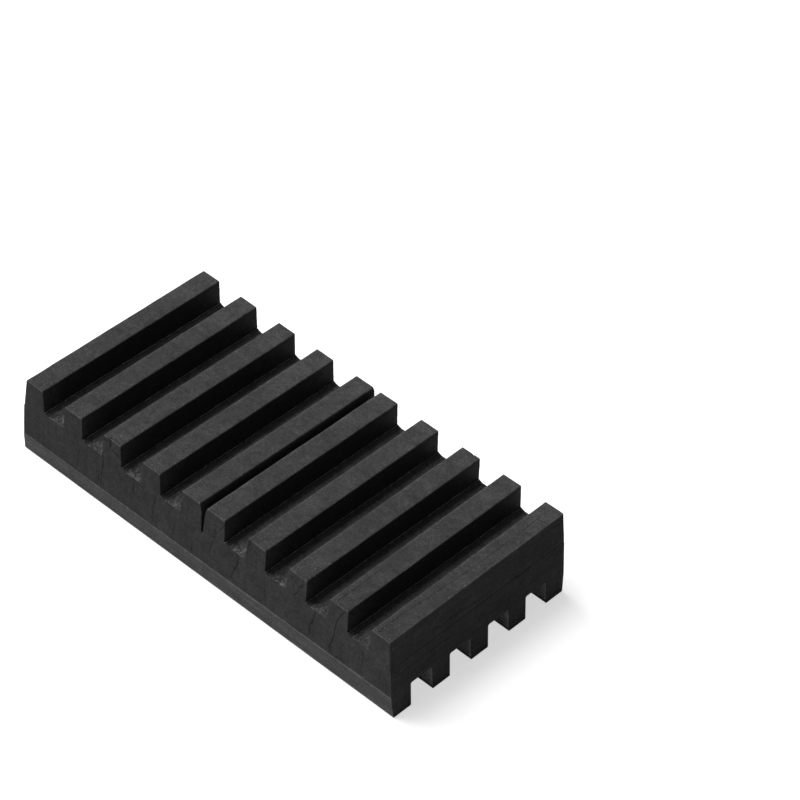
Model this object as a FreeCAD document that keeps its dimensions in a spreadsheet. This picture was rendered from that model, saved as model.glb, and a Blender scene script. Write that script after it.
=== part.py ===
import FreeCAD
import Part
import Sketcher
import math
import os

# Ribbed rubber pad for the foot of a machine, moulded in one piece.
# The maker moulds a large sheet of square cells and a knife cuts the pads out of it.
# A cell has five cross ribs on top and five long ribs underneath, at right angles to them.
# Narrow slits, moulded into both faces between the cells, guide the knife.
# X runs along the pad, Y along the cross ribs, Z up. The origin is the middle of the underside.

# Driving dimensions in millimetres, degrees and counts, with what each one is.
DIMENSIONS = [
    ("cross_rib_width", 4.6, "width of a cross rib at its crest"),
    ("long_rib_width", 4.85, "width of a long rib at its crest"),
    ("rib_pitch", 10.8, "from one rib to the next within a cell"),
    ("cross_rib_height", 5.8, "depth of the grooves between the cross ribs"),
    ("long_rib_height", 5.5, "depth of the grooves between the long ribs"),
    ("cross_rib_draft", 3.5, "lean of a cross rib's walls in degrees"),
    ("long_rib_draft", 1.0, "lean of a long rib's walls in degrees"),
    ("web_thickness", 7.7, "solid rubber between the two sets of grooves"),
    ("root_radius", 0.4, "rounding where a rib meets the groove floor"),
    ("crest_radius", 0.2, "rounding along the edges of a rib's crest"),
    ("slit_mouth", 2.0, "width of a top slit between two cells at the surface"),
    ("slit_depth", 7.0, "depth of a slit"),
    ("slit_radius", 0.25, "radius of a slit's round bottom"),
    ("ribs_per_cell", 5, "ribs across one cell"),
    ("cells_long", 2, "cells along the pad"),
    ("cells_wide", 1, "cells across the pad"),
    ("left_margin", 0.1, "how far outside the slit's middle the knife came out at the -X end"),
    ("right_margin", 1.2, "how far outside the slit's middle it came out at the +X end"),
    ("left_lean", 1.0, "lean of the knife at the -X end in degrees"),
    ("right_lean", 6.5, "lean of the knife at the +X end in degrees"),
    ("side_margin", 0.39, "how far outside the outer long ribs the knife cut at the -X end"),
    ("side_skew", 0.08, "how much further out it cut at the +X end"),
]

# Sizes that follow from the driving dimensions.
CELL_PITCH = "((Sizes.ribs_per_cell - 1) * Sizes.rib_pitch + Sizes.cross_rib_width + Sizes.slit_mouth)"
PAD_LENGTH = f"({CELL_PITCH} * Sizes.cells_long + Sizes.left_margin + Sizes.right_margin)"
LONG_RIBS_WIDTH = (f"({CELL_PITCH} * (Sizes.cells_wide - 1)"
                   " + (Sizes.ribs_per_cell - 1) * Sizes.rib_pitch + Sizes.long_rib_width)")
NARROW_WIDTH = f"({LONG_RIBS_WIDTH} + 2 * Sizes.side_margin)"
WIDE_WIDTH = f"({NARROW_WIDTH} + 2 * Sizes.side_skew)"
PAD_THICKNESS = "(Sizes.cross_rib_height + Sizes.web_thickness + Sizes.long_rib_height)"

# How the cuts in each face are laid out. The middle is how far they all sit from the middle of the pad.
TOP = {
    "name": "top",
    "on_top": True,
    "plane": "XZ_Plane",
    "axis": "X_Axis",
    "cells": "Sizes.cells_long",
    "middle": "(Sizes.left_margin - Sizes.right_margin) / 2",
    "rib_width": "Sizes.cross_rib_width",
    "rib_height": "Sizes.cross_rib_height",
    "rib_draft": "Sizes.cross_rib_draft",
    "slit_mouth": "Sizes.slit_mouth",
}
BOTTOM = {
    "name": "bottom",
    "on_top": False,
    "plane": "YZ_Plane",
    "axis": "Y_Axis",
    "cells": "Sizes.cells_wide",
    "middle": "0",
    "rib_width": "Sizes.long_rib_width",
    "rib_height": "Sizes.long_rib_height",
    "rib_draft": "Sizes.long_rib_draft",
    "slit_mouth": "(Sizes.slit_mouth + Sizes.cross_rib_width - Sizes.long_rib_width)",
}

# How a sketch numbers its own two axes, and the ends and the centre of a line or an arc.
H_AXIS, V_AXIS = -1, -2
START, END, CENTRE = 1, 2, 3
TOLERANCE = 1e-4


def make_sheet(doc):
    sheet = doc.addObject("Spreadsheet::Sheet", "Sizes")
    for row, (name, value, meaning) in enumerate(DIMENSIONS, start=1):
        sheet.set(f"A{row}", meaning)
        sheet.set(f"B{row}", str(value))
        sheet.setAlias(f"B{row}", name)
    doc.recompute()
    return sheet


def origin_feature(body, role):
    return next(feature for feature in body.Origin.OriginFeatures if feature.Role == role)


def new_sketch(body, name, plane_role):
    sketch = body.newObject("Sketcher::SketchObject", name)
    sketch.AttachmentSupport = [(origin_feature(body, plane_role), "")]
    sketch.MapMode = "FlatFace"
    return sketch


def add_loop(sketch, corners):
    """Draw a closed loop of lines from rough corners that the dimensions move. Line k starts at corner k."""
    count = len(corners)
    for index, corner in enumerate(corners):
        following = corners[(index + 1) % count]
        start = FreeCAD.Vector(corner[0], corner[1], 0)
        end = FreeCAD.Vector(following[0], following[1], 0)
        sketch.addGeometry(Part.LineSegment(start, end))
    for index in range(count):
        constraint = Sketcher.Constraint("Coincident", index, END, (index + 1) % count, START)
        sketch.addConstraint(constraint)


def bind(sketch, name, expression, constraint):
    """Add a dimension to the sketch and tie it to the sheet."""
    index = sketch.addConstraint(constraint)
    sketch.renameConstraint(index, name)
    sketch.setExpression(f"Constraints.{name}", expression)


def block_sketch(body):
    """The knife-cut outline from above. The long sides open slightly towards +X."""
    sketch = new_sketch(body, "outline", "XY_Plane")
    add_loop(sketch, [(-50, -24), (50, -25), (50, 25), (-50, 24)])
    near, right, far, left = range(4)
    sketch.addConstraint(Sketcher.Constraint("Symmetric", right, START, right, END, H_AXIS))
    sketch.addConstraint(Sketcher.Constraint("Symmetric", left, START, left, END, H_AXIS))
    bind(sketch, "wide_end", WIDE_WIDTH, Sketcher.Constraint("DistanceY", right, START, right, END, 50))
    bind(sketch, "narrow_end", NARROW_WIDTH, Sketcher.Constraint("DistanceY", left, END, left, START, 48))
    half_length = f"{PAD_LENGTH} / 2"
    bind(sketch, "half_to_right", half_length, Sketcher.Constraint("DistanceX", H_AXIS, START, near, END, 50))
    bind(sketch, "half_to_left", half_length, Sketcher.Constraint("DistanceX", far, END, H_AXIS, START, 50))
    return sketch


def face_sketch(body, face, cut, centre):
    """A sketch whose own origin lies on the top or the underside, over the middle of the cut."""
    sketch = new_sketch(body, f"{face['name']}_{cut}_profile", face["plane"])
    sketch.setExpression(".AttachmentOffset.Base.x", centre)
    if face["on_top"]:
        sketch.setExpression(".AttachmentOffset.Base.y", PAD_THICKNESS)
    return sketch


def groove_sketch(body, face, centre):
    """The gap between two ribs: a trapezoid that narrows by the draft of both walls."""
    sketch = face_sketch(body, face, "groove", centre)
    on_top = face["on_top"]
    mouth_width = f"(Sizes.rib_pitch - {face['rib_width']})"
    floor_width = f"({mouth_width} - 2 * {face['rib_height']} * tan({face['rib_draft']} * 1 deg))"
    floor_level = -5 if on_top else 5
    add_loop(sketch, [(-3, 0), (3, 0), (2, floor_level), (-2, floor_level)])
    mouth, right_wall, floor, left_wall = range(4)
    sketch.addConstraint(Sketcher.Constraint("PointOnObject", mouth, START, H_AXIS))
    sketch.addConstraint(Sketcher.Constraint("Symmetric", mouth, START, mouth, END, V_AXIS))
    sketch.addConstraint(Sketcher.Constraint("Symmetric", floor, START, floor, END, V_AXIS))
    bind(sketch, "mouth", mouth_width, Sketcher.Constraint("DistanceX", mouth, START, mouth, END, 6))
    bind(sketch, "floor", floor_width, Sketcher.Constraint("DistanceX", floor, END, floor, START, 4))
    lower, upper = (left_wall, mouth) if on_top else (mouth, left_wall)
    bind(sketch, "depth", face["rib_height"], Sketcher.Constraint("DistanceY", lower, START, upper, START, 5))
    return sketch


def slit_sketch(body, face, centre):
    """The slit between two cells: a narrow V with a round bottom."""
    sketch = face_sketch(body, face, "slit", centre)
    on_top = face["on_top"]
    way = -1 if on_top else 1
    sheet = body.Document.getObject("Sizes")
    radius = sheet.slit_radius
    level = way * (sheet.slit_depth - radius)
    left_rim = FreeCAD.Vector(-sheet.slit_mouth / 2, 0, 0)
    right_rim = FreeCAD.Vector(sheet.slit_mouth / 2, 0, 0)
    round_bottom = Part.Circle(FreeCAD.Vector(0, level, 0), FreeCAD.Vector(0, 0, 1), radius)
    half_turn = (math.pi, 2 * math.pi) if on_top else (0, math.pi)
    mouth = sketch.addGeometry(Part.LineSegment(left_rim, right_rim))
    right = sketch.addGeometry(Part.LineSegment(right_rim, FreeCAD.Vector(radius, level, 0)))
    left = sketch.addGeometry(Part.LineSegment(left_rim, FreeCAD.Vector(-radius, level, 0)))
    arc = sketch.addGeometry(Part.ArcOfCircle(round_bottom, *half_turn))
    right_of_arc, left_of_arc = (END, START) if on_top else (START, END)
    sketch.addConstraint(Sketcher.Constraint("Coincident", mouth, START, left, START))
    sketch.addConstraint(Sketcher.Constraint("Coincident", mouth, END, right, START))
    sketch.addConstraint(Sketcher.Constraint("Tangent", right, END, arc, right_of_arc))
    sketch.addConstraint(Sketcher.Constraint("Tangent", left, END, arc, left_of_arc))
    sketch.addConstraint(Sketcher.Constraint("PointOnObject", mouth, START, H_AXIS))
    sketch.addConstraint(Sketcher.Constraint("Symmetric", mouth, START, mouth, END, V_AXIS))
    sketch.addConstraint(Sketcher.Constraint("PointOnObject", arc, CENTRE, V_AXIS))
    across_mouth = Sketcher.Constraint("DistanceX", mouth, START, mouth, END, sheet.slit_mouth)
    bind(sketch, "mouth", face["slit_mouth"], across_mouth)
    bind(sketch, "bottom", "Sizes.slit_radius", Sketcher.Constraint("Radius", arc, radius))
    lower, upper = ((arc, CENTRE), (H_AXIS, START)) if on_top else ((H_AXIS, START), (arc, CENTRE))
    bind(sketch, "depth", "Sizes.slit_depth - Sizes.slit_radius",
         Sketcher.Constraint("DistanceY", *lower, *upper, abs(level)))
    return sketch


def cut_through(body, name, sketch):
    pocket = body.newObject("PartDesign::Pocket", name)
    pocket.Profile = sketch
    pocket.SideType = "Symmetric"
    pocket.Type = "ThroughAll"
    return pocket


def repeat(body, name, original, axis_role, spacing, count, row_spacing=None, row_count=None):
    """Repeat a cut in a row along one axis, and the row itself further along it if it says so."""
    pattern = body.newObject("PartDesign::LinearPattern", name)
    pattern.Originals = [original]
    pattern.Direction = (origin_feature(body, axis_role), [""])
    pattern.setExpression("Length", f"{spacing} * ({count} - 1)")
    pattern.setExpression("Occurrences", count)
    if row_spacing:
        pattern.Direction2 = (origin_feature(body, axis_role), [""])
        pattern.setExpression("Length2", f"{row_spacing} * ({row_count} - 1)")
        pattern.setExpression("Occurrences2", row_count)
    body.Tip = pattern


def cut_face(body, face):
    """Mould one face: the grooves between its ribs and the slits between its cells."""
    name, axis, cells = face["name"], face["axis"], face["cells"]
    first_slit = f"({face['middle']} - {CELL_PITCH} * {cells} / 2)"
    slit_to_groove = f"({face['slit_mouth']} + {face['rib_width']} + Sizes.rib_pitch) / 2"
    profile = groove_sketch(body, face, f"{first_slit} + {slit_to_groove}")
    groove = cut_through(body, f"{name}_groove", profile)
    grooves_per_cell = "Sizes.ribs_per_cell - 1"
    repeat(body, f"{name}_grooves", groove, axis, "Sizes.rib_pitch", grooves_per_cell, CELL_PITCH, cells)
    slit = cut_through(body, f"{name}_slit", slit_sketch(body, face, first_slit))
    repeat(body, f"{name}_slits", slit, axis, CELL_PITCH, f"{cells} + 1")


def outer_slits(doc, face):
    """Where the middles of a face's two outer slits are, across its ribs."""
    first = doc.getObject(f"{face['name']}_slit_profile").AttachmentOffset.Base.x
    return first, first + doc.getObject(f"{face['name']}_slits").Length.Value


def edges_along(body, face, direction, level):
    """Names of the straight edges at one height that run exactly along a face's ribs.

    Only the edges between the outer slits count, and not those of what the knife left of the next cell.
    """
    names = []
    across = FreeCAD.Vector(direction.y, direction.x, 0)
    first, last = outer_slits(body.Document, face)
    for number, edge in enumerate(body.Tip.Shape.Edges, start=1):
        ends = [vertex.Point for vertex in edge.Vertexes]
        if len(ends) != 2 or any(abs(point.z - level) > TOLERANCE for point in ends):
            continue
        run = (ends[1] - ends[0]).normalize()
        along = abs(abs(run.dot(direction)) - 1) < TOLERANCE ** 2
        if along and first < ends[0].dot(across) < last:
            names.append(f"Edge{number}")
    return names


def round_edges(body, name, radius, top_level, bottom_level):
    """Round the edges that run along the ribs at one height on each face."""
    base = body.Tip
    names = edges_along(body, TOP, FreeCAD.Vector(0, 1, 0), top_level)
    names += edges_along(body, BOTTOM, FreeCAD.Vector(1, 0, 0), bottom_level)
    fillet = body.newObject("PartDesign::Fillet", name)
    fillet.Base = (base, names)
    fillet.setExpression("Radius", radius)
    body.Tip = fillet
    body.Document.recompute()


def end_face(shape, way):
    """Name of the face that closes the pad's end on that side of X."""
    for number, face in enumerate(shape.Faces, start=1):
        if face.normalAt(0, 0).x * way > 0.9:
            return f"Face{number}"
    raise RuntimeError("the block has no such end")


def lean_end(body, name, way, angle):
    """Lean one end outwards, so that it is longer at the underside."""
    base = body.Tip
    lean = body.newObject("PartDesign::Draft", name)
    lean.Base = (base, [end_face(base.Shape, way)])
    lean.NeutralPlane = (origin_feature(body, "XY_Plane"), [""])
    lean.setExpression("Angle", angle)
    body.Tip = lean
    body.Document.recompute()


def make_block(body):
    """Cut the block out of the sheet with a knife that leaned at both ends."""
    block = body.newObject("PartDesign::Pad", "block")
    block.Profile = block_sketch(body)
    block.setExpression("Length", PAD_THICKNESS)
    body.Tip = block
    body.Document.recompute()
    lean_end(body, "left_end", -1, "Sizes.left_lean")
    lean_end(body, "right_end", 1, "Sizes.right_lean")


def make_pad(doc, sheet):
    body = doc.addObject("PartDesign::Body", "pad_body")
    body.Label = "pad"
    body.Placement = FreeCAD.Placement()
    make_block(body)
    cut_face(body, TOP)
    cut_face(body, BOTTOM)
    doc.recompute()
    upper_floor = sheet.long_rib_height + sheet.web_thickness
    thickness = upper_floor + sheet.cross_rib_height
    round_edges(body, "crest_edges", "Sizes.crest_radius", thickness, 0)
    round_edges(body, "groove_roots", "Sizes.root_radius", upper_floor, sheet.long_rib_height)
    return body


def check(doc):
    for item in doc.Objects:
        if "Invalid" in item.State or "Error" in item.State:
            raise RuntimeError(f"{item.Label} failed: {item.State}")
        if item.isDerivedFrom("PartDesign::Feature") and (item.Shape.isNull() or not item.Shape.isValid()):
            raise RuntimeError(f"{item.Label} has no valid shape")


doc = FreeCAD.newDocument("pad")
sizes = make_sheet(doc)
pad = make_pad(doc, sizes)
check(doc)
os.makedirs("parts", exist_ok=True)
pad.Shape.exportStep(f"parts/{pad.Label}.step")
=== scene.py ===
import math

import bmesh
import bpy
from mathutils import Matrix, Vector, noise


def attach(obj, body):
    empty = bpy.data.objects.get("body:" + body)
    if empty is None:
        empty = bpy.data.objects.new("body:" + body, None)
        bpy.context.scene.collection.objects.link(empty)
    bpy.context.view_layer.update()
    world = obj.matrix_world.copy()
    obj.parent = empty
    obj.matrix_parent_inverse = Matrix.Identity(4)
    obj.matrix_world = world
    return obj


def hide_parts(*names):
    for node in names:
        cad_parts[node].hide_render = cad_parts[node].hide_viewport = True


# The ribbed rubber pad as one detailed mesh in place of the CAD solid, on a white stage with two soft
# lamps. Shapes are worked out in millimetres and scaled to metres at the end. X runs along the pad, Y
# along the cross ribs and Z up. The front is the long side at -Y, and the right end is the one at +X.

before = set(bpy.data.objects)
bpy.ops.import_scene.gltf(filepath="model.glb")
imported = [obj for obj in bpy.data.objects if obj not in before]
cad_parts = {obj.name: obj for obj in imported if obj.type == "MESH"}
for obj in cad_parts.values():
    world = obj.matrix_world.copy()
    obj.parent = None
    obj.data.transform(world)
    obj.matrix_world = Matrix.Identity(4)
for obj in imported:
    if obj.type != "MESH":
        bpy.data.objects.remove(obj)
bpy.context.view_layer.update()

MM = 0.001

# Sizes of the CAD model. A lean is the sideways run of a wall for each millimetre of height. The middle
# is where the slit between the two cells is along X.
RIB_PITCH = 10.8
WEB_THICKNESS = 7.7
ROOT_RADIUS = 0.4
CREST_RADIUS = 0.2
SLIT_MOUTH = 2.0
SLIT_DEPTH = 7.0
SLIT_RADIUS = 0.25
RIBS_PER_CELL = 5
CELLS_LONG = 2
CELLS_WIDE = 1
CROSS_RIB = {"width": 4.6, "height": 5.8, "lean": math.tan(math.radians(3.5))}
LONG_RIB = {"width": 4.85, "height": 5.5, "lean": math.tan(math.radians(1.0))}
CELL_PITCH = (RIBS_PER_CELL - 1) * RIB_PITCH + CROSS_RIB["width"] + SLIT_MOUTH
LEFT_MARGIN = 0.1
RIGHT_MARGIN = 1.2
LEFT_LEAN = math.tan(math.radians(1.0))
RIGHT_LEAN = math.tan(math.radians(6.5))
SIDE_MARGIN = 0.39
SIDE_SKEW = 0.08
THICKNESS = CROSS_RIB["height"] + WEB_THICKNESS + LONG_RIB["height"]
HALF_LENGTH = (CELL_PITCH * CELLS_LONG + LEFT_MARGIN + RIGHT_MARGIN) / 2
MIDDLE = (LEFT_MARGIN - RIGHT_MARGIN) / 2
NARROW_HALF = (CELL_PITCH - SLIT_MOUTH - CROSS_RIB["width"] + LONG_RIB["width"]) / 2 + SIDE_MARGIN
WIDE_HALF = NARROW_HALF + SIDE_SKEW

# How finely each stretch of the surface is divided.
WALL_STEPS = 8
CREST_STEPS = 8
ROUND_STEPS = 3
ROOT_STEPS = 3
FLOOR_STEPS = 8
SLIT_STEPS = 5
SLIT_WALL_STEPS = 3
SIDE_ROWS = 16

# The cross lines of a ribbed face: how far those near an end are from it, and the gap between the rest.
END_ZONE = (0.0, 0.2, 0.45, 0.8, 1.25, 1.8, 2.5)
STATION_GAP = 1.0

# How near to the knife's cut a point is left out, and how near to each other two points become one.
CUT_CLEARANCE = 0.1
WELD = 0.002

# Repeated guesses settle long before this many.
GUESSES = 40

# The bevel along the cut edges: its width, the least angle in radians that counts as an edge, and how
# long the other edges at its ends have to be.
EDGE_BEVEL = 0.035
SHARP_ANGLE = 0.75
BEVEL_ROOM = 1.5 * EDGE_BEVEL

# Edges of the finished mesh are shaded sharp from this many degrees.
SHADED_SHARP = 50

# The foot of a cross rib's right wall, with a fine line left by the mould and a strip that slopes down to
# the floor: how far each point is from the corner and over the floor, and what leads to it.
CREASE = (
    (0.06, 0.42, "wall"),
    (0.25, 0.40, "lip"),
    (0.30, 0.30, "wall"),
    (0.62, 0.16, "root"),
    (1.02, 0.05, "root"),
    (1.08, -0.03, "root"),
    (1.18, 0.0, "root"),
)

# How far each cross rib's crest stands off its place along X, at the front and at the back end.
FRONT_SHIFT = (-0.04, 0.07, 0.02, 0.03, 0.0, 0.12, 0.31, 0.29, 0.19, 0.09)
BACK_SHIFT = (-0.18, -0.16, 0.01, -0.05, 0.04, 0.06, 0.08, 0.13, -0.12, -0.26)

# How far the long sides bow in at their middle, half the length of the bow, the height at which it starts
# and how far into the pad it reaches.
SIDE_SAG = 0.42
SAG_HALF_LENGTH = 46
SAG_START = 3
SAG_REACH = 6

# The bulge of the slit's walls as a share of their distance from its middle, how near to the middle a
# point has to be for it, and the power that lifts the fullest place above half the depth.
SLIT_BULGE = 0.42
BULGE_ZONE = SLIT_MOUTH * 0.6
BULGE_LIFT = 0.7

# How deep the knife's ripples in the cut faces and the dips in the crests are.
CHATTER = 0.035
CREST_SWELL = 0.06

# The waves along each cross rib, and how ragged the upright corners of its cut ends are.
LONG_WAVE = 0.05
SHORT_WAVE = 0.02
RAGGED_CORNER = 0.16

# How rough the torn ends of the groove floors are, and where that starts and is full, from the sides.
TORN_FLOOR = 0.11
TORN_START = 4.5
TORN_FULL = 0.5

# How worn each kind of rim is, from 0 to 1, which also sets how strong its painted highlight is: of a
# cut, of a crest towards -X and +X, and of the pad at +X. Bevels are worn, with the painted highlight,
# down to this depth below the crests.
CUT_RIM = 1.0
LEFT_RIM = 0.62
RIGHT_RIM = 0.5
END_RIM = 0.72
WORN_AND_HIGHLIGHT_DEPTH = 0.3

# How near to a side a point has to be to count as on it. Marks reach further in at the right end, and on
# both ends they stop below the crests.
ON_SIDE = 0.5
ON_RIGHT = 0.9
BELOW_CRESTS = 0.6

# Cuts and tears: a line through places in the side, half its width and its depth. A single place is a
# pit. Places are (x, z) on the front, (y, z) on the right end and (x, y) on the top.
FRONT_MARKS = (
    (((-26.1, 19.1), (-25.8, 17.9), (-25.9, 16.8)), 0.22, 0.30),
    (((-25.9, 16.8), (-24.4, 16.2), (-23.2, 16.1)), 0.14, 0.14),
    (((-25.0, 15.2),), 0.18, 0.14),
    (((-23.0, 18.4), (-23.0, 17.4), (-22.9, 16.7)), 0.25, 0.18),
    (((-27.8, 13.6), (-27.7, 10.8), (-28.3, 5.4)), 0.15, 0.14),
    (((-34.3, 10.5), (-34.9, 5.8)), 0.15, 0.12),
    (((-28.8, 7.9), (-29.0, 5.6)), 0.12, 0.10),
    (((-19.2, 12.5), (-19.1, 9.3)), 0.13, 0.12),
    (((-21.0, 9.8), (-21.1, 7.9)), 0.12, 0.08),
    (((-22.7, 10.7), (-21.6, 11.2)), 0.12, 0.08),
    (((-13.2, 11.8), (-13.7, 9.5), (-13.8, 5.1)), 0.14, 0.12),
    (((-7.7, 9.5), (-8.0, 6.4)), 0.14, 0.14),
    (((-2.9, 8.3), (-2.9, 5.0)), 0.14, 0.12),
    (((2.8, 14.9), (2.5, 12.9)), 0.14, 0.14),
    (((5.1, 17.8), (3.4, 14.8), (2.3, 11.2), (1.7, 8.2), (2.1, 7.4), (4.4, 7.7)), 0.14, 0.12),
    (((8.9, 13.1), (9.2, 10.4), (8.1, 7.4), (7.6, 5.7)), 0.17, 0.18),
    (((13.8, 14.5),), 0.30, 0.28),
    (((12.9, 17.1), (15.8, 15.6)), 0.12, 0.10),
    (((11.9, 19.1), (11.5, 16.9)), 0.15, 0.16),
    (((23.5, 15.6), (24.8, 11.3)), 0.13, 0.12),
    (((25.8, 17.3), (24.2, 13.3), (24.6, 11.6)), 0.13, 0.12),
    (((29.6, 12.7), (29.1, 9.8), (28.6, 8.7), (28.5, 6.1)), 0.17, 0.18),
    (((28.9, 9.4),), 0.32, 0.28),
    (((36.6, 18.3), (35.0, 14.6), (34.6, 10.4), (33.8, 6.5), (34.4, 5.5)), 0.15, 0.18),
    (((36.3, 10.2), (40.6, 8.1)), 0.12, 0.08),
    (((22.6, 7.4), (22.9, 4.8)), 0.12, 0.10),
    (((16.5, 9.4), (17.2, 5.6)), 0.12, 0.10),
    (((23.1, 17.4),), 0.22, 0.18),
    (((42.1, 12.2), (42.1, 7.9)), 0.12, 0.10),
)
RIGHT_MARKS = (
    (((24.3, 13.0), (19.6, 13.3), (14.4, 12.9), (9.3, 13.4)), 0.12, 0.06),
    (((3.7, 12.9), (-0.9, 13.5), (-6.0, 14.4), (-10.1, 14.0), (-15.1, 14.7)), 0.12, 0.05),
    (((-5.2, 9.0), (-9.4, 9.8), (-13.9, 9.8), (-18.0, 10.0), (-22.1, 9.8)), 0.12, 0.07),
    (((24.3, 10.4), (22.5, 10.5)), 0.12, 0.05),
    (((-24.4, 9.9), (-22.9, 10.0)), 0.12, 0.06),
    (((-2.5, 8.0),), 0.18, 0.12),
)
TOP_MARKS = (
    (((44.9, -24.4), (44.9, -17.4), (45.5, -7.8), (45.9, 1.7), (45.9, 12.8), (45.7, 20.8)), 0.16, 0.05),
    (((-30.6, -24.4), (-30.2, -21.0), (-30.5, -16.5)), 0.16, 0.04),
    (((13.1, -24.4), (13.4, -22.0), (14.6, -21.2)), 0.16, 0.05),
    (((34.0, -24.4), (34.3, -19.0), (34.1, -12.0)), 0.16, 0.04),
)


def moved(marks, place):
    """The same marks at other places, for a side that looks much like theirs."""
    return tuple((tuple(place(*point) for point in line), half, depth)
                 for line, half, depth in marks)


MARKS = {
    "top": TOP_MARKS,
    "front": FRONT_MARKS,
    "right": RIGHT_MARKS,
    "back": moved(FRONT_MARKS[::2], lambda x, z: (-0.96 * x, z)),
    "left": moved(RIGHT_MARKS, lambda y, z: (-y, z - 1.5)),
}

# How much of its depth a mark has on average, and how far that goes up and down along it.
MARK_SHARE = 0.75
MARK_SPREAD = 0.7

# The surface nearer than the reach to a mark is divided in a few passes, down to the grain.
MARK_REACH = 0.6
MARK_GRAIN = 0.16
MARK_PASSES = 3


def fillet(corner, before, after, radius, steps):
    """Points round a corner, starting on the side of the point before it."""
    towards_before = (before - corner).normalized()
    towards_after = (after - corner).normalized()
    half = towards_before.angle(towards_after) / 2
    centre = corner + (towards_before + towards_after).normalized() * radius / math.sin(half)
    first = corner + towards_before * radius / math.tan(half) - centre
    last = corner + towards_after * radius / math.tan(half) - centre
    turn = math.pi - 2 * half
    points = []
    for step in range(steps + 1):
        share = step / steps
        mixed = first * math.sin((1 - share) * turn) + last * math.sin(share * turn)
        points.append(centre + mixed / math.sin(turn))
    return points


def between(start, end, steps):
    """The points that divide a straight run, without its ends."""
    return [start.lerp(end, step / steps) for step in range(1, steps)]


def rib_centre(cell, cells, place):
    """Where a rib's middle is, from the middle of all cells."""
    return (cell - (cells - 1) / 2) * CELL_PITCH + (place - (RIBS_PER_CELL - 1) / 2) * RIB_PITCH


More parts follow.
